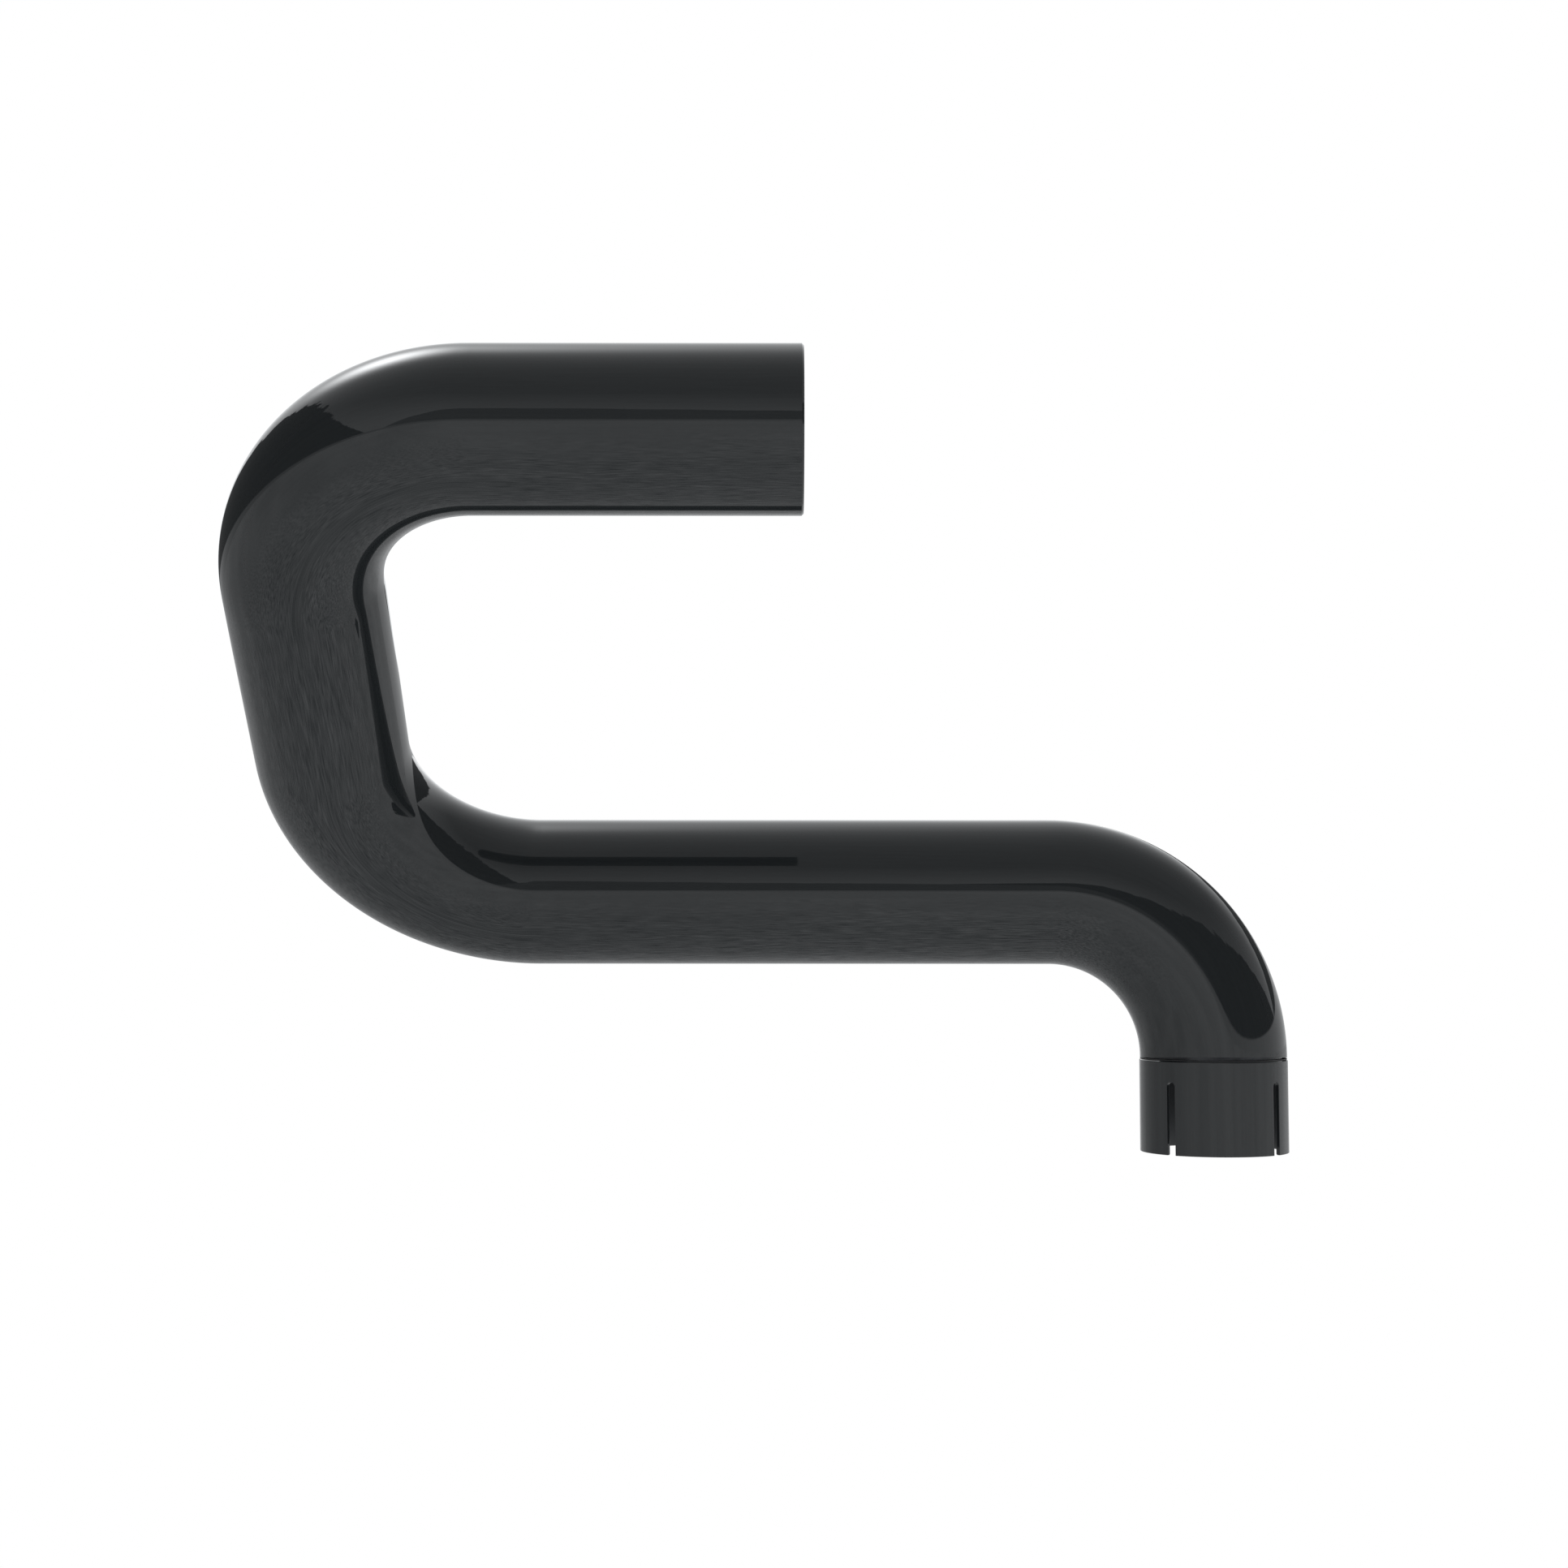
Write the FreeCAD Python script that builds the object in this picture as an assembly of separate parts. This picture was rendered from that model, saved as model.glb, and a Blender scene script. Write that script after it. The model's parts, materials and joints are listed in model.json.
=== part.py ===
import FreeCAD, Part
import math
import os

# Waste trap: one run of tube with three right-angle bends and a slotted swivel socket.
# Millimetres. The origin is the centre of the socket's rim and +Z is the socket's axis,
# pointing up into the trap. The long arm runs along X, with the U at its -X end.

# Tube run
tube_diameter = 42.2        # outside, nominal 1-1/4 pipe size
tube_wall = 1.65
inlet_leg_length = 82.0     # straight, plain end to first bend
upper_bend_radius = 48.0    # centreline
riser_length = 56.5
lower_bend_radius = 54.5
trap_arm_length = 148.0
outlet_elbow_radius = 48.0
lean_angle = 45.9           # of the U out of the upright plane, towards -Y
end_chamfer = 0.5           # outside edge of the plain inlet end

# Butt welds between the sections
weld_face_width = 2.4       # at the outside, ground flush
weld_root_width = 0.9       # at the inside
weld_land = 0.4             # square part of the edge, before the V opens
weld_root_height = 0.45     # bead standing into the bore

# Slotted collar
collar_proud = 0.2          # its outside, beyond the tube's
collar_wall = 1.2           # around the socket
collar_edge = 0.35          # chamfer at the collar's top edge
rim_edge = 0.3              # chamfer inside the rim
slot_count = 4
slot_width = 2.65
slot_height = 20.7          # rim to the slot's round end
first_slot_angle = 45.0

# Swivel, from the slots' ends upwards
slot_headroom = 0.2         # collar left between the slots' ends and the gasket
gasket_thickness = 1.2
gasket_undercut = 0.25      # gasket recess beyond the socket's bore
gasket_shoulder = 0.3       # the collar's bore around the spigot, inside the socket's bore
running_gap = 0.05          # between faces that turn on each other
spigot_wall = 2.35
o_ring_land = 0.5           # spigot left below the O-ring
o_ring_height = 1.9
o_ring_groove_depth = 1.25
o_ring_corner = 0.45        # where its squeezed flats meet its round sides
ring_land = 0.55            # between the O-ring and the retaining groove
ring_height = 0.9
ring_groove_depth = 0.6     # in the collar
ring_seat_depth = 0.85      # in the spigot
ring_gap_angle = 12.0       # the split in the retaining ring
ring_lip = 0.65             # collar left above the retaining groove
washer_thickness = 0.2
elbow_tail = 0.3            # straight end of the elbow, below its bend
seam_relief_angle = 2.6     # slant of the elbow's end, from the axis to its -Y side
shank_length = 5.0          # of the spigot, inside the elbow
shank_bite = 0.3            # the elbow's counterbore, beyond the tube's bore
braze_leg = 1.0

same_place = 1e-6           # points of a profile nearer than this are one point

tube_radius = tube_diameter / 2
bore_radius = tube_radius - tube_wall
collar_radius = tube_radius + collar_proud
socket_radius = collar_radius - collar_wall
recess_radius = socket_radius + gasket_undercut
swivel_radius = socket_radius - gasket_shoulder
spigot_radius = swivel_radius - running_gap
spigot_inner = spigot_radius - spigot_wall
shank_radius = bore_radius + shank_bite

# Levels on the socket's axis
socket_depth = slot_height + slot_headroom
recess_top = socket_depth + gasket_thickness + running_gap
o_ring_bottom = recess_top + o_ring_land
o_ring_top = o_ring_bottom + o_ring_height
ring_groove_bottom = o_ring_top + ring_land
ring_bottom = ring_groove_bottom + running_gap
ring_top = ring_bottom + ring_height
ring_groove_top = ring_top + running_gap
collar_height = ring_groove_top + ring_lip
washer_bottom = collar_height + running_gap
elbow_end = washer_bottom + washer_thickness
bend_end = elbow_end + elbow_tail
shank_top = elbow_end + shank_length

# Directions and corners of the centreline, from the socket back to the inlet
origin = FreeCAD.Vector(0, 0, 0)
along = FreeCAD.Vector(1, 0, 0)
up = FreeCAD.Vector(0, 0, 1)
lean = math.radians(lean_angle)
rise = FreeCAD.Vector(0, -math.sin(lean), math.cos(lean))

elbow_outlet = up * bend_end
elbow_inlet = elbow_outlet - along * outlet_elbow_radius + up * outlet_elbow_radius
arm_inlet = elbow_inlet - along * trap_arm_length
riser_bottom = arm_inlet - along * lower_bend_radius + rise * lower_bend_radius
riser_top = riser_bottom + rise * riser_length
leg_outlet = riser_top + along * upper_bend_radius + rise * upper_bend_radius


def turned(profile, base=origin, axis=up):
    """Solid of revolution: profile is (radius, height) points, heights run along axis from base."""
    points = [FreeCAD.Vector(radius, 0, height) for radius, height in profile]
    corners = [point for index, point in enumerate(points)
               if not point.isEqual(points[index - 1], same_place)]
    face = Part.Face(Part.makePolygon(corners + corners[:1]))
    solid = face.revolve(origin, up, 360)
    solid.Placement = FreeCAD.Placement(base, FreeCAD.Rotation(up, axis))
    return solid


def sleeve(outer, inner, bottom, top):
    """Plain ring about the socket's axis."""
    return turned([(inner, bottom), (outer, bottom), (outer, top), (inner, top)])


def straight_tube(start, direction, length):
    outside = Part.makeCylinder(tube_radius, length, start, direction)
    return outside.cut(Part.makeCylinder(bore_radius, length, start, direction))


def bent_tube(start, heading, end, next_heading):
    """Right-angle bend from start, leaving along heading, to end, arriving along next_heading."""
    reach = (end - start).dot(heading)
    centre = start + next_heading * reach
    axis = heading.cross(next_heading)
    disc = Part.Face(Part.Wire(Part.makeCircle(tube_radius, start, heading)))
    hole = Part.Face(Part.Wire(Part.makeCircle(bore_radius, start, heading)))
    return disc.revolve(centre, axis, 90).cut(hole.revolve(centre, axis, 90))


def weld_groove(place, direction):
    """The gap and V between two sections, 1 mm past the wall inside and outside."""
    land_radius = bore_radius + weld_land
    root = weld_root_width / 2
    face = weld_face_width / 2
    over = 1.0
    slope = (face - root) / (tube_radius - land_radius)
    profile = [(bore_radius - over, root), (land_radius, root),
               (tube_radius + over, face + slope * over)]
    mirrored = [(radius, -height) for radius, height in reversed(profile)]
    return turned(profile + mirrored, place, direction)


def weld_bead(place, direction):
    """Fills the groove flush with the tube, and stands a little into the bore."""
    root = weld_root_width / 2
    face = weld_face_width / 2
    crown = bore_radius - weld_root_height
    profile = [(tube_radius, face), (bore_radius + weld_land, root), (bore_radius, root),
               (crown, root / 2)]
    mirrored = [(radius, -height) for radius, height in reversed(profile)]
    return turned(profile + mirrored, place, direction)


def inlet_leg():
    tube = straight_tube(leg_outlet, along, inlet_leg_length)
    outside = tube_radius + 1
    edge = [(tube_radius - end_chamfer, inlet_leg_length), (outside, inlet_leg_length),
            (outside, inlet_leg_length - end_chamfer - 1)]
    return tube.cut(turned(edge, leg_outlet, along))


def outlet_elbow():
    """Last bend and its tail, counterbored for the spigot's shank and slanted at its -Y side."""
    bend = bent_tube(elbow_inlet, along, elbow_outlet, up * -1)
    elbow = bend.fuse(straight_tube(up * elbow_end, up, elbow_tail)).removeSplitter()
    counterbore = Part.makeCylinder(shank_radius, shank_length, up * elbow_end, up)
    reach = tube_radius + 1
    corner = FreeCAD.Vector(-reach, -reach, elbow_end - reach)
    relief = Part.makeBox(2 * reach, reach, reach, corner)
    relief.rotate(up * elbow_end, along, -seam_relief_angle)
    return elbow.cut([counterbore, relief])


def slots():
    """Cutters for the round-ended slots, evenly spaced about the socket's axis."""
    half = slot_width / 2
    straight = slot_height - half
    below = 1.0
    box = Part.makeBox(collar_radius + 1, slot_width, straight + below,
                       FreeCAD.Vector(0, -half, -below))
    end = Part.makeCylinder(half, collar_radius + 1, FreeCAD.Vector(0, 0, straight), along)
    cutters = []
    for index in range(slot_count):
        cutter = box.fuse(end)
        cutter.rotate(origin, up, first_slot_angle + index * 360 / slot_count)
        cutters.append(cutter)
    return cutters


def slotted_collar():
    groove_radius = swivel_radius + ring_groove_depth
    profile = [
        (socket_radius + rim_edge, 0), (collar_radius, 0),
        (collar_radius, collar_height - collar_edge), (collar_radius - collar_edge, collar_height),
        (swivel_radius, collar_height), (swivel_radius, ring_groove_top),
        (groove_radius, ring_groove_top), (groove_radius, ring_groove_bottom),
        (swivel_radius, ring_groove_bottom), (swivel_radius, recess_top),
        (recess_radius, recess_top), (recess_radius, socket_depth),
        (socket_radius, socket_depth), (socket_radius, rim_edge)]
    return turned(profile).cut(slots())


def swivel_spigot():
    """Turned sleeve: its nose runs in the collar, and its shank is brazed into the elbow."""
    ring_seat = spigot_radius - ring_seat_depth
    o_ring_seat = swivel_radius - o_ring_groove_depth
    profile = [
        (spigot_inner, recess_top), (spigot_radius, recess_top),
        (spigot_radius, o_ring_bottom), (o_ring_seat, o_ring_bottom),
        (o_ring_seat, o_ring_top), (spigot_radius, o_ring_top),
        (spigot_radius, ring_bottom), (ring_seat, ring_bottom),
        (ring_seat, ring_top), (spigot_radius, ring_top),
        (spigot_radius, elbow_end), (shank_radius, elbow_end),
        (shank_radius, shank_top - braze_leg), (shank_radius - braze_leg, shank_top),
        (spigot_inner, shank_top)]
    return turned(profile)


def spigot_braze_ring():
    return turned([(shank_radius, shank_top - braze_leg), (shank_radius, shank_top),
                   (shank_radius - braze_leg, shank_top)])


def spigot_o_ring():
    """The ring at its squeezed section: flats where it is pressed, round between them."""
    ring = sleeve(spigot_radius, swivel_radius - o_ring_groove_depth, o_ring_bottom, o_ring_top)
    return ring.makeFillet(o_ring_corner, ring.Edges)


def retaining_ring():
    """Split ring, held in the spigot's groove and reaching into the collar's."""
    outer = swivel_radius + ring_groove_depth - running_gap
    ring = sleeve(outer, spigot_radius - ring_seat_depth, ring_bottom, ring_top)
    width = 2 * outer * math.sin(math.radians(ring_gap_angle / 2))
    split = Part.makeBox(outer + 1, width, ring_height, FreeCAD.Vector(0, -width / 2, ring_bottom))
    return ring.cut(split)


def swivel_washer():
    return sleeve(tube_radius, spigot_radius, washer_bottom, elbow_end)


def seat_gasket():
    return sleeve(recess_radius, spigot_inner, socket_depth, socket_depth + gasket_thickness)


joints = {
    "weld_1_inlet_leg": (leg_outlet, along),
    "weld_2_upper_bend": (riser_top, rise),
    "weld_3_riser": (riser_bottom, rise),
    "weld_4_lower_bend": (arm_inlet, along),
    "weld_5_trap_arm": (elbow_inlet, along),
}

sections = {
    "inlet_leg": inlet_leg(),
    "upper_bend": bent_tube(leg_outlet, along * -1, riser_top, rise * -1),
    "riser": straight_tube(riser_bottom, rise, riser_length),
    "lower_bend": bent_tube(riser_bottom, rise * -1, arm_inlet, along),
    "trap_arm": straight_tube(arm_inlet, along, trap_arm_length),
    "outlet_elbow": outlet_elbow(),
}

grooves = [weld_groove(place, direction) for place, direction in joints.values()]
nodes = {name: section.cut(grooves) for name, section in sections.items()}
nodes.update({name: weld_bead(*place) for name, place in joints.items()})
nodes["swivel_spigot"] = swivel_spigot()
nodes["spigot_braze_ring"] = spigot_braze_ring()
nodes["spigot_o_ring"] = spigot_o_ring()
nodes["retaining_ring"] = retaining_ring()
nodes["swivel_washer"] = swivel_washer()
nodes["slotted_collar"] = slotted_collar()
nodes["seat_gasket"] = seat_gasket()

os.makedirs("parts", exist_ok=True)
for name, shape in nodes.items():
    shape.exportStep(os.path.join("parts", name + ".step"))
    print(name, len(shape.Solids), "solid", round(shape.Volume, 2), "mm3", shape.isValid())
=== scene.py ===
import json
import math

import bmesh
import bpy
from mathutils import Matrix, Quaternion, Vector


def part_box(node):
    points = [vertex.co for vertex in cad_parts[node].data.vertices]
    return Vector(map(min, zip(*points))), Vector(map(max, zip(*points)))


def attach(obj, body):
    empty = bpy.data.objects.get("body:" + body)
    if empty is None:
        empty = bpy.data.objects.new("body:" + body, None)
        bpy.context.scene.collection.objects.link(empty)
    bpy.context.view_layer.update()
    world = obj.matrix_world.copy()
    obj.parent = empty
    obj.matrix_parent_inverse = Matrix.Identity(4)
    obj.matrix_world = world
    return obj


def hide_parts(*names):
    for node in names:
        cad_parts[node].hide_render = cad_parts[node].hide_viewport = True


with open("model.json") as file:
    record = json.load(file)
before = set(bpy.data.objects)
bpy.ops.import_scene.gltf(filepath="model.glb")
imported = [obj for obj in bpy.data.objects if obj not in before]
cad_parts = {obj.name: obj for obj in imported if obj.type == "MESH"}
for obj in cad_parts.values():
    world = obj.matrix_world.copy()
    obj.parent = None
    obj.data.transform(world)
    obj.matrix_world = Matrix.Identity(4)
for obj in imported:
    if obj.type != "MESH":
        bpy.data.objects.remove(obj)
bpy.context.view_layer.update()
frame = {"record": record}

MM = 0.001
X = Vector((1, 0, 0))
Z = Vector((0, 0, 1))

# Camera: metres, degrees, and millimetres of lens on a square sensor
CAMERA_PLACE = (-0.12569, -0.66307, 0.05696)
CAMERA_PITCH = 4.314
CAMERA_YAW = -0.04
CAMERA_ROLL = 0.034
CAMERA_LENS = 51.86
CAMERA_SENSOR = 36.0
CAMERA_CLIP = (0.01, 100.0)

# Sizes inside the object, metres
TUBE_WALL = 1.65 * MM
END_CHAMFER = 0.5 * MM
WELD_FACE = 1.2 * MM            # half of a weld's width at the outside
WELD_ROOT = 0.45 * MM           # and at the inside
WELD_LAND = 0.4 * MM
WELD_CROWN = 0.45 * MM          # bead standing into the bore
SEAM_RELIEF = math.radians(2.6)
SEAM_RELIEF_ZONE = 1.5 * MM     # height over which the elbow's end rows are pushed up
SHANK_RADIUS = 19.75 * MM
SHANK_LENGTH = 5.0 * MM
FUNNEL_LENGTH = 3.6 * MM        # from the straight counterbore to the bend's bore
BRAZE_LEG = 1.0 * MM
SLOT_COUNT = 4
SLOT_WIDTH = 2.65 * MM
SLOT_HEIGHT = 20.7 * MM
FIRST_SLOT = math.radians(45)
RIM_EDGE = 0.3 * MM
COLLAR_EDGE = 0.35 * MM
RUNNING_GAP = 0.05 * MM
RING_GAP = math.radians(12)
RING_SEAT_DEPTH = 0.85 * MM     # from the spigot's outside
SPIGOT_WALL = 2.35 * MM
SEAL_SEAT_DEPTH = 1.25 * MM     # from the collar's bore around the spigot

# Softened corners
TUBE_EDGE = 0.12 * MM
COLLAR_SOFTENING = 0.1 * MM
TURNED_EDGE = 0.08 * MM
RUBBER_EDGE = 0.35 * MM
LARGEST_CUT = 0.45              # share of an edge that one softened corner may take
HARD_EDGE = math.radians(30)    # the collar's edges at least this sharp are bevelled
BEVEL_STEPS = 2

# Fineness of the meshes, and how near two of their points are when they count as one
AROUND = 192
STRAIGHT_STEP = 8 * MM
BEND_STEP = math.radians(1.25)
CORNER_STEPS = 4
ARCH_STEPS = 16
SMOOTH_BELOW = math.radians(14)
WALL_FACING = math.cos(math.radians(5))
SHORTEST_STRETCH = TUBE_EDGE    # a shorter stretch of an outline is not divided
SAME_RADIUS = TUBE_EDGE / 2
SAME_HEIGHT = TUBE_EDGE / 10
SAME_PLACE = 1e-6
PLACE_DECIMALS = 7              # to which places along the run are rounded, in metres


def mount(name):
    return next(m for m in frame["record"]["mounts"] if m["name"] == name)


def low_and_high(node):
    low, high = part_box(node)
    return low.z, high.z


def outer_radius(node):
    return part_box(node)[1].y


def middle(node):
    low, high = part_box(node)
    return (low + high) / 2


# The tube's radii, and the levels on the socket's axis, from the frame
TUBE_RADIUS = mount("inlet_end")["dims"]["r_mm"] * MM
BORE_RADIUS = TUBE_RADIUS - TUBE_WALL
SOCKET_RADIUS = mount("outlet_socket")["dims"]["r_mm"] * MM
SOCKET_DEPTH = mount("outlet_socket")["dims"]["length_mm"] * MM
COLLAR_RADIUS = outer_radius("slotted_collar")
COLLAR_TOP = low_and_high("slotted_collar")[1]
ELBOW_END = low_and_high("swivel_washer")[1]

# ------------------------------------------------------------------ centreline


class Run:
    """The tube's centreline from the inlet to the socket, as straights and quarter turns."""

    def __init__(self, start, heading, across):
        self.parts = []
        self.length = 0.0
        self.place = Vector(start)
        self.turn = Matrix((across, heading.cross(across), heading)).transposed()

    def add(self, length, arc=None):
        self.parts.append((self.length, length, self.place.copy(), self.turn.copy(), arc))
        self.length += length

    def straight(self, length):
        self.add(length)
        self.place += self.turn.col[2] * length

    def bend(self, radius, towards):
        heading = self.turn.col[2].copy()
        axis = heading.cross(towards)
        self.add(radius * math.pi / 2, (radius, towards.copy(), axis))
        self.place += (heading + towards) * radius
        self.turn = Quaternion(axis, math.pi / 2).to_matrix() @ self.turn

    def at(self, distance):
        """Centre and turn at a distance from the inlet; the turn's columns are two directions
        across the tube, then its heading."""
        for start, length, place, turn, arc in self.parts:
            if distance <= start + length:
                break
        travel = distance - start
        if arc is None:
            return place + turn.col[2] * travel, turn
        radius, towards, axis = arc
        swing = Quaternion(axis, travel / radius).to_matrix()
        return place + towards * radius - swing @ (towards * radius), swing @ turn

    def at_end(self, distance):
        """The same, on the last straight's line carried back as far as it is asked for."""
        place, turn = self.at(self.length)
        return place + turn.col[2] * (distance - self.length), turn


def trap_run():
    """The centreline, worked out from the inlet, the welds' places and the washer."""
    inlet = Vector(mount("inlet_end")["pos_m"])
    leg_end = middle("weld_1_inlet_leg")
    riser_top = middle("weld_2_upper_bend")
    riser_bottom = middle("weld_3_riser")
    arm_start = middle("weld_4_lower_bend")
    arm_end = middle("weld_5_trap_arm")
    fall = (riser_bottom - riser_top).normalized()
    elbow_radius = -arm_end.x
    line = Run(inlet, -X, fall)
    line.straight((inlet - leg_end).length)
    line.bend((riser_top - leg_end).dot(fall), fall)
    line.straight((riser_bottom - riser_top).length)
    line.bend((arm_start - riser_bottom).dot(fall), X)
    line.straight((arm_end - arm_start).length)
    line.bend(elbow_radius, -Z)
    line.straight(arm_end.z - elbow_radius - ELBOW_END)
    return line


run = trap_run()
# Distances along the run at which one section is welded to the next. The last part of the run
# is the elbow's own straight end, which has no weld before it.
JOINTS = [part[0] for part in run.parts[1:-1]]


def on_axis(height):
    """Centre and turn at a height on the socket's axis."""
    return Z * height, Matrix.Identity(3)


# ------------------------------------------------------------------ skins around a line

def softened(outline):
    """Replaces each corner (along, radius, softening) of a closed outline with a small arc."""
    points = [Vector(corner[:2]) for corner in outline]
    smooth = []
    for index, corner in enumerate(outline):
        point = points[index]
        before = points[index - 1] - point
        after = points[(index + 1) % len(points)] - point
        amount = corner[2] if len(corner) > 2 else 0
        turn = math.pi - before.angle(after)
        if amount == 0 or turn < SMOOTH_BELOW:
            smooth.append(point)
            continue
        cut = min(amount * math.tan(turn / 2), LARGEST_CUT * before.length,
                  LARGEST_CUT * after.length)
        first = point + before.normalized() * cut
        last = point + after.normalized() * cut
        for step in range(CORNER_STEPS + 1):
            share = step / CORNER_STEPS
            smooth.append(first * (1 - share) ** 2 + point * 2 * share * (1 - share)
                          + last * share ** 2)
    return smooth


def divided(outline):
    """Adds points where an outline runs along the tube, closer together on a bend."""
    points = []
    for index, start in enumerate(outline):
        end = outline[(index + 1) % len(outline)]
        points.append(start)
        marks = []
        for part_start, length, _, _, arc in run.parts:
            low = max(min(start.x, end.x), part_start)
            high = min(max(start.x, end.x), part_start + length)
            if high - low < SHORTEST_STRETCH:
                continue
            step = STRAIGHT_STEP if arc is None else arc[0] * BEND_STEP
            count = max(1, round((high - low) / step))
            marks += [low + (high - low) * number / count for number in range(count + 1)]
        first = min(start.x, end.x) + SAME_PLACE
        last = max(start.x, end.x) - SAME_PLACE
        marks = {round(mark, PLACE_DECIMALS) for mark in marks if first < mark < last}
        marks = sorted(marks, reverse=end.x < start.x)
        for mark in marks:
            points.append(start.lerp(end, (mark - start.x) / (end.x - start.x)))
    return points


def skin(name, outline, place, gap=0.0):
    """Mesh of a closed outline of (along, radius) points, carried round the line that place(along)
    gives. A gap, in radians, leaves the ring open about the first direction across."""
    bm = bmesh.new()
    across = bm.verts.layers.float_vector.new("across")
    whole = gap == 0
    count = AROUND if whole else AROUND + 1
    angles = [gap / 2 + (2 * math.pi - gap) * index / AROUND for index in range(count)]
    loops = []
    arms = []
    for point in outline:
        centre, turn = place(point)
        loop = []
        for angle in angles:
            arm = turn.col[0] * math.cos(angle) + turn.col[1] * math.sin(angle)
            vert = bm.verts.new(centre + arm * point.y)
            vert[across] = (point.y * math.cos(angle), point.y * math.sin(angle), point.x)
            loop.append(vert)
            arms.append((arm, turn.col[2]))
        loops.append(loop)
    bm.verts.index_update()
    normals = []
    for index, loop in enumerate(loops):
        beyond = (index + 1) % len(loops)
        rise = outline[beyond] - outline[index]
        for near in range(AROUND):
            far = (near + 1) % count
            corners = (loop[near], loop[far], loops[beyond][far], loops[beyond][near])
            bm.faces.new(corners).smooth = True
            for vert in corners:
                arm, heading = arms[vert.index]
                normals.append((arm * rise.x - heading * rise.y).normalized())
    if not whole:
        for near, step in ((0, 1), (AROUND, -1)):
            cap = bm.faces.new([loop[near] for loop in loops][::step])
            cap.normal_update()
            normals += [cap.normal.copy()] * len(cap.verts)
    mesh = bpy.data.meshes.new(name)
    bm.to_mesh(mesh)
    bm.free()
    mesh.normals_split_custom_set(normals)
    return mesh


def piece(node, mesh, body, material):
    """A finished piece that rides on a body and stands for one CAD node."""
    made = bpy.data.objects.new(node + "_piece", mesh)
    bpy.context.scene.collection.objects.link(made)
    mesh.materials.append(material)
    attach(made, body)
    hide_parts(node)
    return made


# ------------------------------------------------------------------ tube sections and welds

def section_outline(start, end):
    """A section between two welds: its walls, and the half V at each end."""
    land = BORE_RADIUS + WELD_LAND
    return [(start + WELD_FACE, TUBE_RADIUS), (end - WELD_FACE, TUBE_RADIUS),
            (end - WELD_ROOT, land), (end - WELD_ROOT, BORE_RADIUS),
            (start + WELD_ROOT, BORE_RADIUS), (start + WELD_ROOT, land)]


def inlet_leg_outline():
    """The same, with a plain deburred end in place of the first weld."""
    outline = section_outline(0, JOINTS[0])
    return [(END_CHAMFER, TUBE_RADIUS, TUBE_EDGE)] + outline[1:4] + [
        (0, BORE_RADIUS, TUBE_EDGE), (0, TUBE_RADIUS - END_CHAMFER, TUBE_EDGE)]


def outlet_elbow_outline():
    """The same, with a straight counterbore for the spigot's shank in place of the last weld."""
    outline = section_outline(JOINTS[4], run.length)
    counterbore = run.length - SHANK_LENGTH
    return outline[:1] + [
        (run.length, TUBE_RADIUS, TUBE_EDGE), (run.length, SHANK_RADIUS, TUBE_EDGE),
        (counterbore, SHANK_RADIUS), (counterbore - FUNNEL_LENGTH, BORE_RADIUS)] + outline[4:]


def weld_outline(joint):
    """The weld: flush outside, filling the V, with a low crown in the bore."""
    half = [(WELD_FACE, TUBE_RADIUS), (WELD_ROOT, BORE_RADIUS + WELD_LAND),
            (WELD_ROOT, BORE_RADIUS), (WELD_ROOT / 2, BORE_RADIUS - WELD_CROWN, WELD_CROWN)]
    mirrored = [(-corner[0], *corner[1:]) for corner in reversed(half)]
    return [(joint + corner[0], *corner[1:]) for corner in half + mirrored]


def along_run(point):
    """The run's own line, or the socket's axis for the elbow's straight counterbore."""
    in_counterbore = abs(point.y - SHANK_RADIUS) < SAME_RADIUS
    return run.at_end(point.x) if in_counterbore else run.at(point.x)


def slant_end(mesh):
    """Pushes up the elbow's end on its -Y side, so that the seam opens towards the front."""
    slope = math.tan(SEAM_RELIEF)
    for vertex in mesh.vertices:
        height = vertex.co.z - ELBOW_END
        if vertex.co.y < 0 and height < SEAM_RELIEF_ZONE:
            lift = -vertex.co.y * slope
            vertex.co.z += lift * (1 - max(height, 0) / SEAM_RELIEF_ZONE)


def make_tube(enamel):
    bounds = [0] + JOINTS + [run.length]
    names = ["inlet_leg", "upper_bend", "riser", "lower_bend", "trap_arm", "outlet_elbow"]
    for name, start, end in zip(names, bounds, bounds[1:]):
        outline = section_outline(start, end)
        if name == "inlet_leg":
            outline = inlet_leg_outline()
        if name == "outlet_elbow":
            outline = outlet_elbow_outline()
        mesh = skin(name, divided(softened(outline)), along_run)
        if name == "outlet_elbow":
            slant_end(mesh)
        piece(name, mesh, "trap_tube", enamel)
    welds = ["weld_1_inlet_leg", "weld_2_upper_bend", "weld_3_riser", "weld_4_lower_bend",
             "weld_5_trap_arm"]
    for name, joint in zip(welds, JOINTS):
        mesh = skin(name, softened(weld_outline(joint)), along_run)
        piece(name, mesh, "trap_tube", enamel)


# ------------------------------------------------------------------ slotted collar

def collar_columns(radius):
    """Angles of the collar's upright edges at a radius, as (angle, slot edge height or None).

    Each slot's own columns follow its round end, from one side of the slot to the other."""
    half = SLOT_WIDTH / 2
    reach = math.asin(half / radius)
    pitch = 2 * math.pi / SLOT_COUNT
    plain = AROUND // SLOT_COUNT
    columns = []
    for slot in range(SLOT_COUNT):
        centre = FIRST_SLOT + slot * pitch
        for step in range(ARCH_STEPS + 1):
            swing = math.pi * step / ARCH_STEPS
            angle = math.asin(-half * math.cos(swing) / radius)
            height = SLOT_HEIGHT - half + half * math.sin(swing)
            columns.append((centre + angle, height))
        for step in range(1, plain):
            columns.append((centre + reach + (pitch - 2 * reach) * step / plain, None))
    return columns


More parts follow.
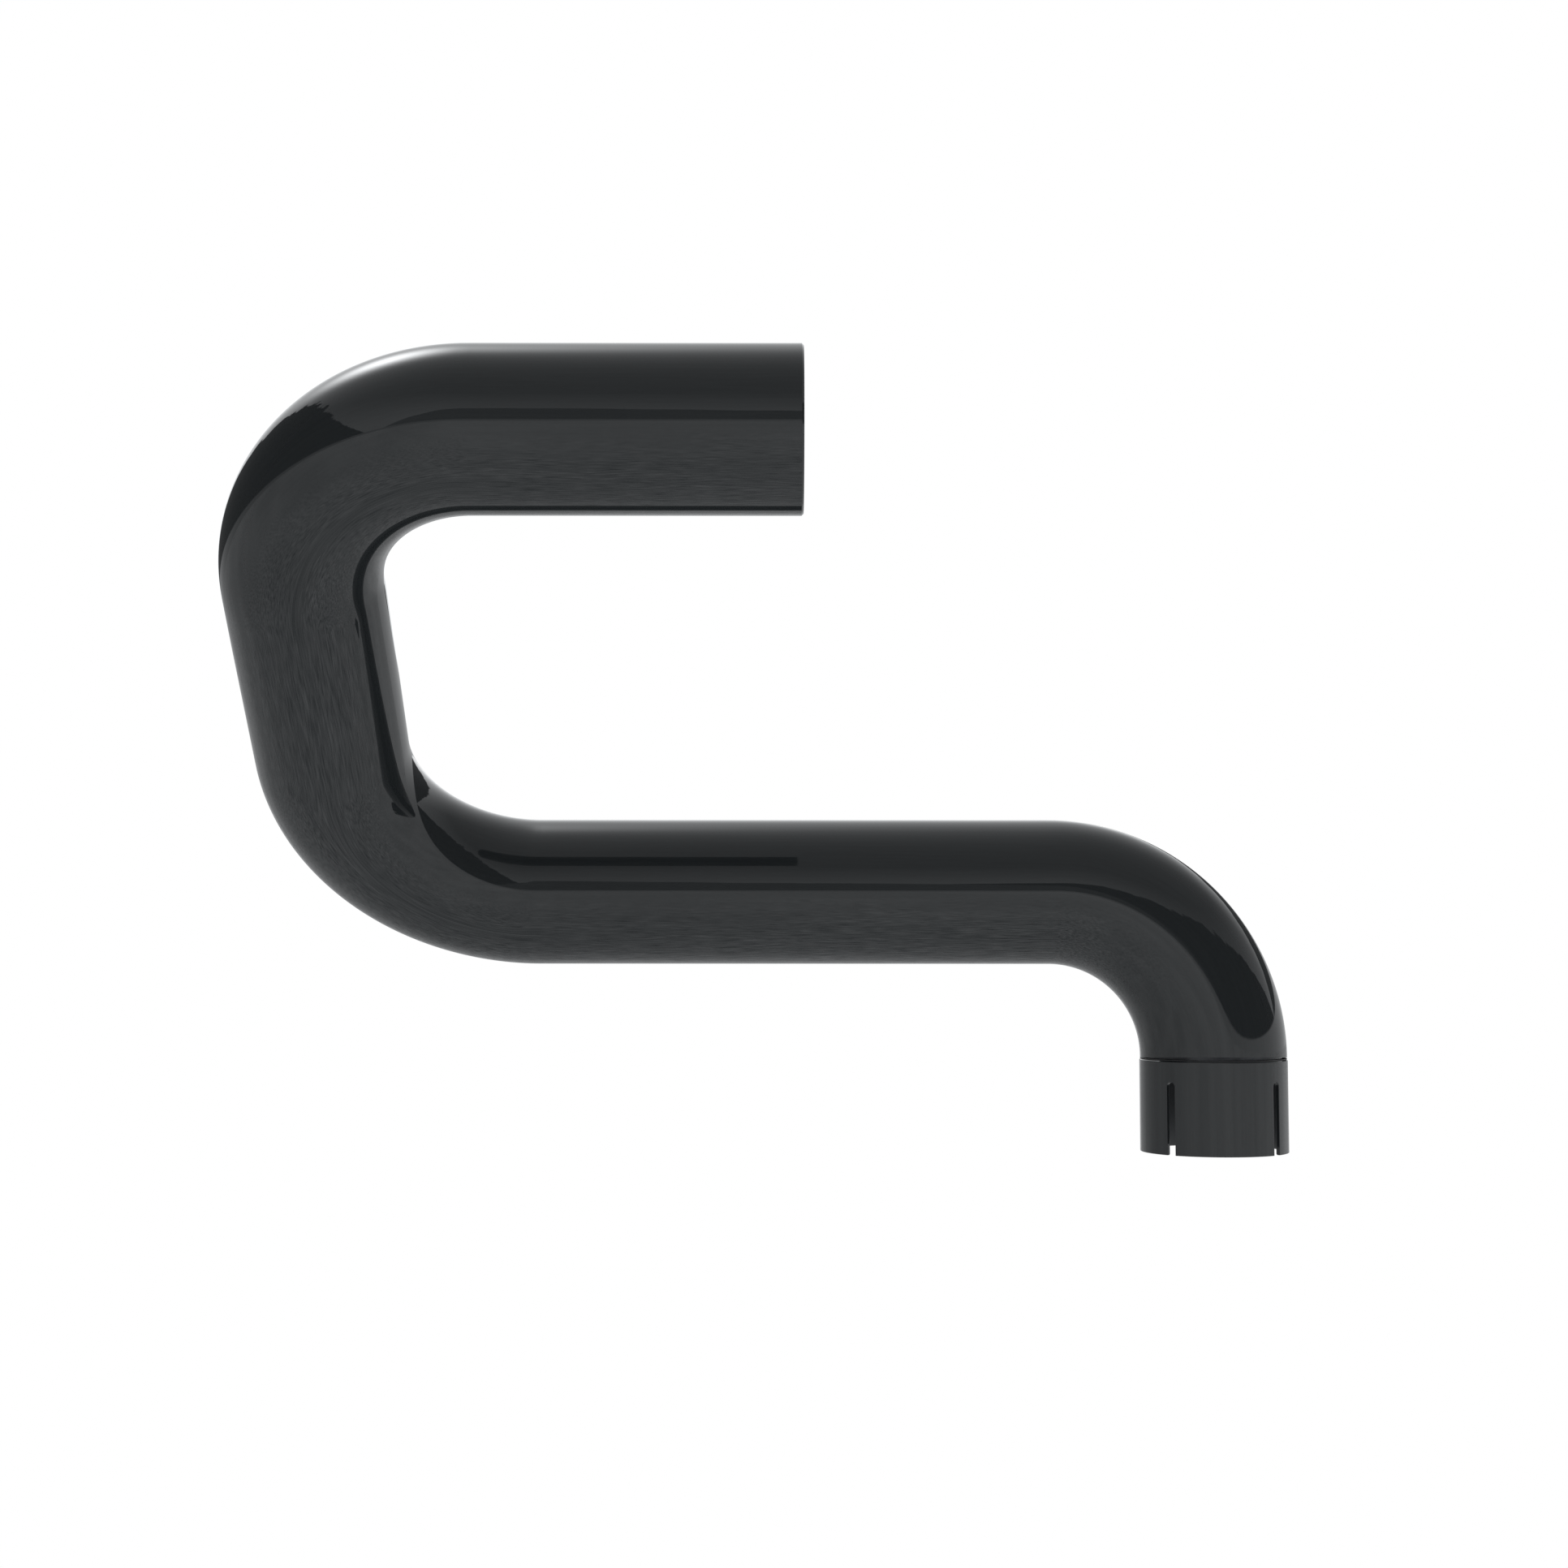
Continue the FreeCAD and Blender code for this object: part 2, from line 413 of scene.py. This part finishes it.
def collar_mesh():
    """The collar as upright strips: walls inside and out, with the slots left open to the rim."""
    groove_low, groove_high = low_and_high("retaining_ring")
    swivel_radius = outer_radius("spigot_o_ring") + RUNNING_GAP
    groove_radius = outer_radius("retaining_ring") + RUNNING_GAP
    recess_radius = outer_radius("seat_gasket")
    recess_top = low_and_high("seat_gasket")[1] + RUNNING_GAP
    arch_base = SLOT_HEIGHT - SLOT_WIDTH / 2
    below = [(SOCKET_RADIUS, arch_base), (SOCKET_RADIUS, RIM_EDGE), (SOCKET_RADIUS + RIM_EDGE, 0),
             (COLLAR_RADIUS, 0), (COLLAR_RADIUS, arch_base)]
    above = [(COLLAR_RADIUS, SOCKET_DEPTH), (COLLAR_RADIUS, COLLAR_TOP - COLLAR_EDGE),
             (COLLAR_RADIUS - COLLAR_EDGE, COLLAR_TOP), (swivel_radius, COLLAR_TOP),
             (swivel_radius, groove_high + RUNNING_GAP), (groove_radius, groove_high + RUNNING_GAP),
             (groove_radius, groove_low - RUNNING_GAP), (swivel_radius, groove_low - RUNNING_GAP),
             (swivel_radius, recess_top), (recess_radius, recess_top),
             (recess_radius, SOCKET_DEPTH), (SOCKET_RADIUS, SOCKET_DEPTH)]
    outer = collar_columns(COLLAR_RADIUS)
    inner = collar_columns(SOCKET_RADIUS)
    bm = bmesh.new()

    def strip(column, points):
        verts = []
        for radius, height in points:
            outside = (radius - SOCKET_RADIUS) / (COLLAR_RADIUS - SOCKET_RADIUS)
            outside = min(max(outside, 0), 1)
            angle = inner[column][0] * (1 - outside) + outer[column][0] * outside
            place = (radius * math.cos(angle), radius * math.sin(angle), height)
            verts.append(bm.verts.new(place))
        return verts

    tops = [strip(column, above) for column in range(len(outer))]
    bottoms = {}
    arches = {}
    for column, (_, arch) in enumerate(outer):
        if arch is None or abs(arch - arch_base) < SAME_HEIGHT:
            bottoms[column] = strip(column, below)
        if arch is not None and column not in bottoms:
            arches[column] = strip(column, [(SOCKET_RADIUS, arch), (COLLAR_RADIUS, arch)])
        elif arch is not None:
            arches[column] = [bottoms[column][0], bottoms[column][-1]]
    count = len(outer)
    for column in range(count):
        beside = (column + 1) % count
        here, there = tops[column], tops[beside]
        for low, high in zip(range(len(above) - 1), range(1, len(above))):
            bm.faces.new((here[low], there[low], there[high], here[high]))
        in_slot = column in arches and beside in arches
        if in_slot:
            inside, outside = arches[column]
            next_inside, next_outside = arches[beside]
            bm.faces.new((inside, outside, next_outside, next_inside))
        else:
            near, far = bottoms[column], bottoms[beside]
            for low, high in zip(range(len(below) - 1), range(1, len(below))):
                bm.faces.new((near[low], far[low], far[high], near[high]))
            inside, outside = near[0], near[-1]
            next_inside, next_outside = far[0], far[-1]
        bm.faces.new((outside, next_outside, there[0], here[0]))
        bm.faces.new((here[-1], there[-1], next_inside, inside))
    for column in bottoms:
        if column in arches:
            bm.faces.new(bottoms[column])
    bmesh.ops.recalc_face_normals(bm, faces=bm.faces)
    mesh = bpy.data.meshes.new("slotted_collar")
    bm.to_mesh(mesh)
    bm.free()
    return mesh


def soften_collar(collar):
    """Bevels the collar's hard edges, gives its skin the places that the enamel reads, and
    makes its walls shade evenly."""
    bevel = collar.modifiers.new("soft edges", "BEVEL")
    bevel.width = COLLAR_SOFTENING
    bevel.segments = BEVEL_STEPS
    bevel.limit_method = "ANGLE"
    bevel.angle_limit = HARD_EDGE
    graph = bpy.context.evaluated_depsgraph_get()
    mesh = bpy.data.meshes.new_from_object(collar.evaluated_get(graph))
    collar.modifiers.clear()
    collar.data = mesh
    across = mesh.attributes.new("across", "FLOAT_VECTOR", "POINT")
    for vertex in mesh.vertices:
        across.data[vertex.index].vector = vertex.co
    mesh.shade_smooth()
    mesh.set_sharp_from_angle(angle=SMOOTH_BELOW)
    even_walls(mesh)


def even_walls(mesh):
    """Gives the faces of the round walls normals that point straight out or in."""
    normals = []
    for face in mesh.polygons:
        outward = Vector((face.center.x, face.center.y, 0)).normalized()
        facing = face.normal.dot(outward)
        for loop in face.loop_indices:
            normal = mesh.corner_normals[loop].vector.copy()
            if abs(facing) > WALL_FACING:
                place = mesh.vertices[mesh.loops[loop].vertex_index].co
                normal = Vector((place.x, place.y, 0)).normalized() * math.copysign(1, facing)
            normals.append(normal)
    mesh.normals_split_custom_set(normals)


# ------------------------------------------------------------------ swivel and seals

def ring_piece(node, outline, body, material, gap=0.0):
    """A turned or moulded ring on the socket's axis, from (height, radius, softening) corners."""
    mesh = skin(node, softened(outline), lambda point: on_axis(point.x), gap)
    piece(node, mesh, body, material)


def rectangle(node, inner, softening):
    """The section of a plain ring that fills a CAD ring's height and outer radius."""
    low, high = low_and_high(node)
    outer = outer_radius(node)
    return [(low, outer, softening), (high, outer, softening),
            (high, inner, softening), (low, inner, softening)]


def make_swivel(looks):
    spigot_low, spigot_high = low_and_high("swivel_spigot")
    ring_low, ring_high = low_and_high("retaining_ring")
    seal_low, seal_high = low_and_high("spigot_o_ring")
    nose = outer_radius("spigot_o_ring")
    ring_seat = nose - RING_SEAT_DEPTH
    seal_seat = nose + RUNNING_GAP - SEAL_SEAT_DEPTH
    bore = nose - SPIGOT_WALL
    edge = TURNED_EDGE
    spigot = [
        (spigot_low, nose, edge), (seal_low, nose, edge), (seal_low, seal_seat),
        (seal_high, seal_seat), (seal_high, nose, edge), (ring_low, nose, edge),
        (ring_low, ring_seat), (ring_high, ring_seat), (ring_high, nose, edge),
        (spigot_high - BRAZE_LEG, nose), (spigot_high, nose - BRAZE_LEG),
        (spigot_high, bore, edge), (spigot_low, bore, edge)]
    ring_piece("swivel_spigot", spigot, "trap_tube", looks["oxide"])
    braze = [(spigot_high - BRAZE_LEG, nose), (spigot_high, nose, edge),
             (spigot_high, nose - BRAZE_LEG, edge)]
    ring_piece("spigot_braze_ring", braze, "trap_tube", looks["braze"])
    ring_piece("spigot_o_ring", rectangle("spigot_o_ring", seal_seat, RUBBER_EDGE),
               "trap_tube", looks["rubber"])
    ring_piece("retaining_ring", rectangle("retaining_ring", ring_seat, TURNED_EDGE),
               "trap_tube", looks["spring"], RING_GAP)
    ring_piece("swivel_washer", rectangle("swivel_washer", nose, TURNED_EDGE / 2),
               "trap_tube", looks["plastic"])
    ring_piece("seat_gasket", rectangle("seat_gasket", bore, RUBBER_EDGE),
               "socket", looks["rubber"])


# ------------------------------------------------------------------ materials

class Nodes:
    """A small helper that adds shader nodes and links or sets their inputs by name."""

    def __init__(self, tree):
        self.tree = tree
        tree.nodes.clear()

    def add(self, kind, inputs=None, **settings):
        node = self.tree.nodes.new(kind)
        for name, value in settings.items():
            setattr(node, name, value)
        for name, value in (inputs or {}).items():
            if isinstance(value, bpy.types.NodeSocket):
                self.tree.links.new(value, node.inputs[name])
            else:
                node.inputs[name].default_value = value
        return node

    def math(self, operation, *values):
        inputs = dict(enumerate(values))
        return self.add("ShaderNodeMath", inputs, operation=operation).outputs[0]

    def spread(self, value, low, high, to_low, to_high):
        """Maps a value from one span to another, held at both ends."""
        return self.add("ShaderNodeMapRange", {
            "Value": value, "From Min": low, "From Max": high,
            "To Min": to_low, "To Max": to_high}).outputs[0]

    def noise(self, vector, scale, detail, roughness=0.5):
        return self.add("ShaderNodeTexNoise", {
            "Vector": vector, "Scale": scale, "Detail": detail, "Roughness": roughness}).outputs[0]

    def mix(self, share, first, second):
        return self.add("ShaderNodeMix", {0: share, 6: first, 7: second},
                        data_type="RGBA").outputs[2]


def new_material(name):
    material = bpy.data.materials.new(name)
    material.use_nodes = True
    return material, Nodes(material.node_tree)


def finish_material(nodes, colour, roughness, height, distance, **constants):
    """The surface itself: a principled shader with its colour, roughness and bump linked."""
    bump = nodes.add("ShaderNodeBump", {"Height": height, "Distance": distance, "Strength": 1.0})
    inputs = {"Base Color": colour, "Roughness": roughness, "Normal": bump.outputs[0]}
    inputs.update(constants)
    shader = nodes.add("ShaderNodeBsdfPrincipled", inputs)
    nodes.add("ShaderNodeOutputMaterial", {"Surface": shader.outputs[0]})


def stretched(nodes, shrink):
    """Places on a piece's skin, with the direction along it shrunk, so that noise forms streaks."""
    place = nodes.add("ShaderNodeAttribute", attribute_name="across").outputs["Vector"]
    scale = nodes.add("ShaderNodeVectorMath", {0: place, 1: (1, 1, shrink)}, operation="MULTIPLY")
    return scale.outputs[0]


# Noise runs from 0 to 1 about a half. These are the spans of it that are used.
EVEN_SPAN = (0.3, 0.7)
PATCHY_SPAN = (0.4, 0.65)

# Black enamel. Texture scales are in repeats per metre, and colours are linear.
STREAKS = 1500
STREAK_SHRINK = 0.04            # along the tube, which draws the noise out into streaks
CLOUDS = 60
PEEL = 420                      # the lacquer's orange peel
GLOSS_COAT = ((0.0160, 0.0186, 0.0200, 1), (0.0188, 0.0214, 0.0228, 1))
THIN_COAT = ((0.030, 0.033, 0.035, 1), (0.048, 0.051, 0.054, 1))
STREAK_ROUGHNESS = (0.015, 0.035)
CLOUD_ROUGHNESS = (0.0, 0.02)
ROUGH_STREAK_SPAN = (0.35, 0.7)
ROUGH_CLOUD_SPAN = (0.4, 0.7)
THIN_COAT_ROUGHNESS = 0.35      # added inside the tube and the socket
STREAK_RELIEF = 0.12            # as a share of the peel's
ENAMEL_RELIEF = 1.2e-6          # metres
ENAMEL_IOR = 1.46


def black_enamel():
    """Gloss black baked enamel: brushing in the steel shows through as faint streaks. The coat
    is thin, greyer and duller inside the tube and the socket."""
    material, nodes = new_material("black_enamel")
    streaks = nodes.noise(stretched(nodes, STREAK_SHRINK), STREAKS, 3, 0.6)
    clouds = nodes.noise(stretched(nodes, 1), CLOUDS, 2)
    peel = nodes.noise(stretched(nodes, 1), PEEL, 1)
    gloss_coat = nodes.mix(nodes.spread(streaks, *EVEN_SPAN, 0, 1), *GLOSS_COAT)
    thin_coat = nodes.mix(clouds, *THIN_COAT)
    flat = nodes.add("ShaderNodeVectorMath", {0: stretched(nodes, 0)}, operation="LENGTH")
    rim = SOCKET_RADIUS + RIM_EDGE - SAME_PLACE
    outside = nodes.math("GREATER_THAN", flat.outputs["Value"], rim)
    colour = nodes.mix(outside, thin_coat, gloss_coat)
    roughness = nodes.math("ADD", nodes.spread(streaks, *ROUGH_STREAK_SPAN, *STREAK_ROUGHNESS),
                           nodes.spread(clouds, *ROUGH_CLOUD_SPAN, *CLOUD_ROUGHNESS))
    dulled = nodes.spread(outside, 0, 1, THIN_COAT_ROUGHNESS, 0)
    roughness = nodes.math("ADD", roughness, dulled)
    height = nodes.math("ADD", nodes.math("MULTIPLY", streaks, STREAK_RELIEF), peel)
    finish_material(nodes, colour, roughness, height, ENAMEL_RELIEF, IOR=ENAMEL_IOR)
    return material


TURNING_RINGS = 60
RING_SHRINK = 60                # along the axis, which flattens the noise into rings
STAINS = 120
TURNED_ROUGHNESS = (-0.06, 0.08)
TURNED_RELIEF = 4e-6


def turned_metal(name, light, dark, roughness):
    """Metal off a lathe: fine rings round the axis, with stains."""
    material, nodes = new_material(name)
    rings = nodes.noise(stretched(nodes, RING_SHRINK), TURNING_RINGS, 2, 0.6)
    stains = nodes.noise(stretched(nodes, 1), STAINS, 3)
    colour = nodes.mix(nodes.spread(stains, *PATCHY_SPAN, 0, 1), (*light, 1), (*dark, 1))
    smoothest, roughest = (roughness + change for change in TURNED_ROUGHNESS)
    rough = nodes.spread(rings, *EVEN_SPAN, smoothest, roughest)
    finish_material(nodes, colour, rough, rings, TURNED_RELIEF, Metallic=1.0)
    return material


BLOOM = 150
MOULDED_ROUGHNESS = 0.08        # either side of a material's own


def moulded(name, light, dark, roughness, grain, depth):
    """Rubber or plastic: a fine moulded grain with a little bloom."""
    material, nodes = new_material(name)
    texture = nodes.noise(stretched(nodes, 1), grain, 3)
    bloom = nodes.noise(stretched(nodes, 1), BLOOM, 2)
    colour = nodes.mix(nodes.spread(bloom, *PATCHY_SPAN, 0, 1), (*dark, 1), (*light, 1))
    rough = nodes.spread(texture, *EVEN_SPAN, roughness - MOULDED_ROUGHNESS,
                         roughness + MOULDED_ROUGHNESS)
    finish_material(nodes, colour, rough, texture, depth)
    return material


# ------------------------------------------------------------------ studio

def white_to_camera(nodes, shader, backdrop):
    """The surroundings are plain white where the camera sees them directly."""
    path = nodes.add("ShaderNodeLightPath").outputs["Is Camera Ray"]
    mixed = nodes.add("ShaderNodeMixShader", {0: path, 1: shader, 2: backdrop})
    return mixed.outputs[0]


# The light that the gloss reflects, in degrees except where they are turned into radians. Azimuths
# run from -Y towards +X, and heights start at the horizon. Dark screens with rounded tops stand round the studio, each an azimuth, half
# width and height in degrees and a grey, with the sky above them. A low light band runs in front
# of their feet, highest at one azimuth.
SCREENS = [(-100, 62, 42, 0.08), (55, 64, 28, 0.09), (143, 36, 22, 0.09), (-8, 24, 14, 0.25)]
SCREEN_RAGGEDNESS = 0.09        # share of its height by which a screen's top wanders
RAGGED_SPAN = (0.25, 0.75)
RAGGED_SCALE = 9
EDGE_BLUR = 0.25                # either side of an edge
BAND_HEIGHTS = (0.5, 8.5)       # at its lowest and at its highest
BAND_HIGH_AZIMUTH = math.radians(160)
BAND_GREYS = (0.38, 0.86)       # on its dull side and on its bright side
BAND_BRIGHT_AZIMUTH = math.radians(80)
GLOW_AZIMUTH = math.radians(-140)
GLOW_HEIGHT = math.radians(54)
GLOW_WIDTH = math.radians(11)   # to where it has faded by e
GLOW_STRENGTH = 6.5
HAZE_WIDTH = math.radians(22)
HAZE_STRENGTH = 1.3
BACK_LIGHT = 0.6                # straight behind, fading to the sides and upwards
BACK_LIGHT_SIDES = (0.4, 1)     # cosines of the azimuth from straight behind
BACK_LIGHT_HEIGHTS = (15, 70)
LOW_LIGHT = 0.42                # all round, fading upwards
LOW_LIGHT_HEIGHTS = (8, 37)
SKY_LIGHT = 0.325
COOL = (0.985, 1.0, 1.015, 1)


def cooled(nodes, light):
    """A grey light with the studio's slightly cool tint."""
    return nodes.add("ShaderNodeMix", {0: 1.0, 6: light, 7: COOL}, data_type="RGBA",
                     blend_type="MULTIPLY").outputs[2]


def above(nodes, height, edge):
    """0 below an edge and 1 above it, with a little blur."""
    return nodes.spread(nodes.math("SUBTRACT", height, edge), -EDGE_BLUR, EDGE_BLUR, 0, 1)


def sky_light(nodes, direction, azimuth, height):
    """A soft round glow with a haze about it, and the weaker light of the rest of the sky."""
    glow = Vector((math.sin(GLOW_AZIMUTH) * math.cos(GLOW_HEIGHT),
                   -math.cos(GLOW_AZIMUTH) * math.cos(GLOW_HEIGHT), math.sin(GLOW_HEIGHT)))
    near = nodes.add("ShaderNodeVectorMath", {0: direction, 1: glow}, operation="DOT_PRODUCT")
    away = nodes.math("ARCCOSINE", near.outputs["Value"])
    core = nodes.math("POWER", nodes.math("DIVIDE", away, GLOW_WIDTH), 2.0)
    core = nodes.math("EXPONENT", nodes.math("MULTIPLY", core, -1.0))
    haze = nodes.math("EXPONENT", nodes.math("DIVIDE", away, -HAZE_WIDTH))
    behind = nodes.math("MULTIPLY", nodes.math("COSINE", azimuth), -1.0)
    back_light = nodes.math("MULTIPLY", nodes.spread(behind, *BACK_LIGHT_SIDES, 0, BACK_LIGHT),
                            nodes.spread(height, *BACK_LIGHT_HEIGHTS, 1, 0))
    low_light = nodes.spread(height, *LOW_LIGHT_HEIGHTS, LOW_LIGHT, 0)
    light = nodes.math("ADD", nodes.math("MULTIPLY", core, GLOW_STRENGTH),
                       nodes.math("MULTIPLY", haze, HAZE_STRENGTH))
    for more in (back_light, low_light, SKY_LIGHT):
        light = nodes.math("ADD", light, more)
    return light


def with_screens(nodes, light, direction, azimuth, height):
    """The light with the dark screens in front of it."""
    ragged = nodes.spread(nodes.noise(direction, RAGGED_SCALE, 4, 0.6), *RAGGED_SPAN,
                          1 - SCREEN_RAGGEDNESS, 1 + SCREEN_RAGGEDNESS)
    for place, half_width, top, grey in SCREENS:
        turn = nodes.math("SUBTRACT", nodes.math("DEGREES", azimuth), place)
        share = nodes.math("DIVIDE", turn, half_width)
        crown = nodes.math("SUBTRACT", 1.0, nodes.math("MULTIPLY", share, share))
        edge = nodes.math("MULTIPLY", nodes.math("MULTIPLY", crown, top), ragged)
        light = nodes.mix(above(nodes, height, edge), (grey, grey, grey, 1), light)
    return light


def with_band(nodes, light, azimuth, height):
    """The light with the low band in front of it."""
    high_side = nodes.math("COSINE", nodes.math("SUBTRACT", azimuth, BAND_HIGH_AZIMUTH))
    rise = nodes.spread(high_side, -1, 1, 0, 1)
    band_top = nodes.spread(nodes.math("MULTIPLY", rise, rise), 0, 1, *BAND_HEIGHTS)
    lit_side = nodes.math("COSINE", nodes.math("SUBTRACT", azimuth, BAND_BRIGHT_AZIMUTH))
    band = nodes.spread(lit_side, -1, 1, *BAND_GREYS)
    return nodes.mix(above(nodes, height, band_top), band, light)


def make_world():
    world = bpy.data.worlds.new("studio")
    world.use_nodes = True
    bpy.context.scene.world = world
    nodes = Nodes(world.node_tree)
    direction = nodes.add("ShaderNodeTexCoord").outputs["Generated"]
    axes = nodes.add("ShaderNodeSeparateXYZ", {0: direction}).outputs
    azimuth = nodes.math("ARCTAN2", axes[0], nodes.math("MULTIPLY", axes[1], -1.0))
    height = nodes.math("DEGREES", nodes.math("ARCSINE", axes[2]))
    light = sky_light(nodes, direction, azimuth, height)
    light = with_screens(nodes, light, direction, azimuth, height)
    light = with_band(nodes, light, azimuth, height)
    tinted = cooled(nodes, light)
    studio = nodes.add("ShaderNodeBackground", {"Color": tinted, "Strength": 1.0}).outputs[0]
    white = nodes.add("ShaderNodeBackground", {"Color": (1, 1, 1, 1), "Strength": 1.0}).outputs[0]
    surface = white_to_camera(nodes, studio, white)
    nodes.add("ShaderNodeOutputWorld", {"Surface": surface})


FLOOR_DROP = 0.30               # below the socket's rim
FLOOR_RADIUS = 18.0
FLOOR_SIDES = 96
FLOOR_LIGHT_AZIMUTH = math.radians(30)
FLOOR_LIGHT = 0.70
FLOOR_LIGHT_SWING = 0.22        # more at that azimuth, and less opposite it
FLOOR_BACK_LIGHT = 0.18         # more in a narrow lane straight behind
FLOOR_BACK_LANE = (0.96, 1)     # cosines of the angle from straight behind
STONE_SCALE = 90
STONE_CONTRAST = 0.65
RAY_SCALE = 4
RAY_CONTRAST = 0.12
FLOOR_SPAN = (0.35, 0.65)


def floor_level(nodes):
    """How brightly the floor glows: by direction, with a stone's grain and faint rays."""
    place = nodes.add("ShaderNodeTexCoord").outputs["Object"]
    facing = nodes.add("ShaderNodeVectorMath", {0: place}, operation="NORMALIZE").outputs[0]
    bright_side = Vector((math.sin(FLOOR_LIGHT_AZIMUTH), -math.cos(FLOOR_LIGHT_AZIMUTH), 0))
    side = nodes.add("ShaderNodeVectorMath", {0: facing, 1: bright_side}, operation="DOT_PRODUCT")
    swing = nodes.math("MULTIPLY", side.outputs["Value"], FLOOR_LIGHT_SWING)
    level = nodes.math("ADD", swing, FLOOR_LIGHT)
    back = nodes.add("ShaderNodeSeparateXYZ", {0: facing}).outputs[1]
    level = nodes.math("ADD", level, nodes.spread(back, *FLOOR_BACK_LANE, 0, FLOOR_BACK_LIGHT))
    stone = nodes.spread(nodes.noise(place, STONE_SCALE, 5, 0.7), *FLOOR_SPAN,
                         1 - STONE_CONTRAST, 1 + STONE_CONTRAST)
    rays = nodes.spread(nodes.noise(facing, RAY_SCALE, 4, 0.6), *FLOOR_SPAN,
                        1 - RAY_CONTRAST, 1 + RAY_CONTRAST)
    return nodes.math("MULTIPLY", nodes.math("MULTIPLY", level, stone), rays)


def make_floor():
    """A pale stone floor that gives its own soft light, brightest towards the front right."""
    mesh = bpy.data.meshes.new("floor")
    bm = bmesh.new()
    bmesh.ops.create_circle(bm, cap_ends=True, radius=FLOOR_RADIUS, segments=FLOOR_SIDES)
    bmesh.ops.translate(bm, verts=bm.verts, vec=(0, 0, -FLOOR_DROP))
    bm.to_mesh(mesh)
    bm.free()
    floor = bpy.data.objects.new("floor", mesh)
    bpy.context.scene.collection.objects.link(floor)
    material, nodes = new_material("pale_floor")
    tinted = cooled(nodes, floor_level(nodes))
    lit = nodes.add("ShaderNodeEmission", {"Color": tinted, "Strength": 1.0}).outputs[0]
    white = nodes.add("ShaderNodeEmission", {"Color": (1, 1, 1, 1), "Strength": 1.0}).outputs[0]
    surface = white_to_camera(nodes, lit, white)
    nodes.add("ShaderNodeOutputMaterial", {"Surface": surface})
    mesh.materials.append(material)


def make_camera():
    data = bpy.data.cameras.new("camera")
    data.lens = CAMERA_LENS
    data.sensor_width = CAMERA_SENSOR
    data.sensor_fit = "HORIZONTAL"
    data.clip_start, data.clip_end = CAMERA_CLIP
    camera = bpy.data.objects.new("camera", data)
    camera.location = CAMERA_PLACE
    yaw = Matrix.Rotation(math.radians(CAMERA_YAW), 3, "Z")
    pitch = Matrix.Rotation(math.radians(90 + CAMERA_PITCH), 3, "X")
    roll = Matrix.Rotation(math.radians(CAMERA_ROLL), 3, "Z")
    camera.rotation_euler = (yaw @ pitch @ roll).to_euler()
    bpy.context.scene.collection.objects.link(camera)
    bpy.context.scene.camera = camera


# ------------------------------------------------------------------ the whole scene

enamel = black_enamel()
looks = {
    "oxide": turned_metal("black_oxide_steel", (0.050, 0.052, 0.055), (0.028, 0.029, 0.031), 0.24),
    "braze": turned_metal("braze_alloy", (0.72, 0.60, 0.32), (0.45, 0.33, 0.16), 0.35),
    "spring": turned_metal("spring_steel", (0.42, 0.42, 0.43), (0.25, 0.25, 0.26), 0.25),
    "rubber": moulded("seal_rubber", (0.03, 0.03, 0.032), (0.016, 0.016, 0.018), 0.6, 2500, 8e-6),
    "plastic": moulded("washer_plastic", (0.035, 0.035, 0.037), (0.02, 0.02, 0.022), 0.45, 3000,
                       4e-6),
}
make_tube(enamel)
collar = piece("slotted_collar", collar_mesh(), "socket", enamel)
soften_collar(collar)
make_swivel(looks)
make_world()
make_floor()
make_camera()
bpy.context.scene.view_settings.view_transform = "Standard"
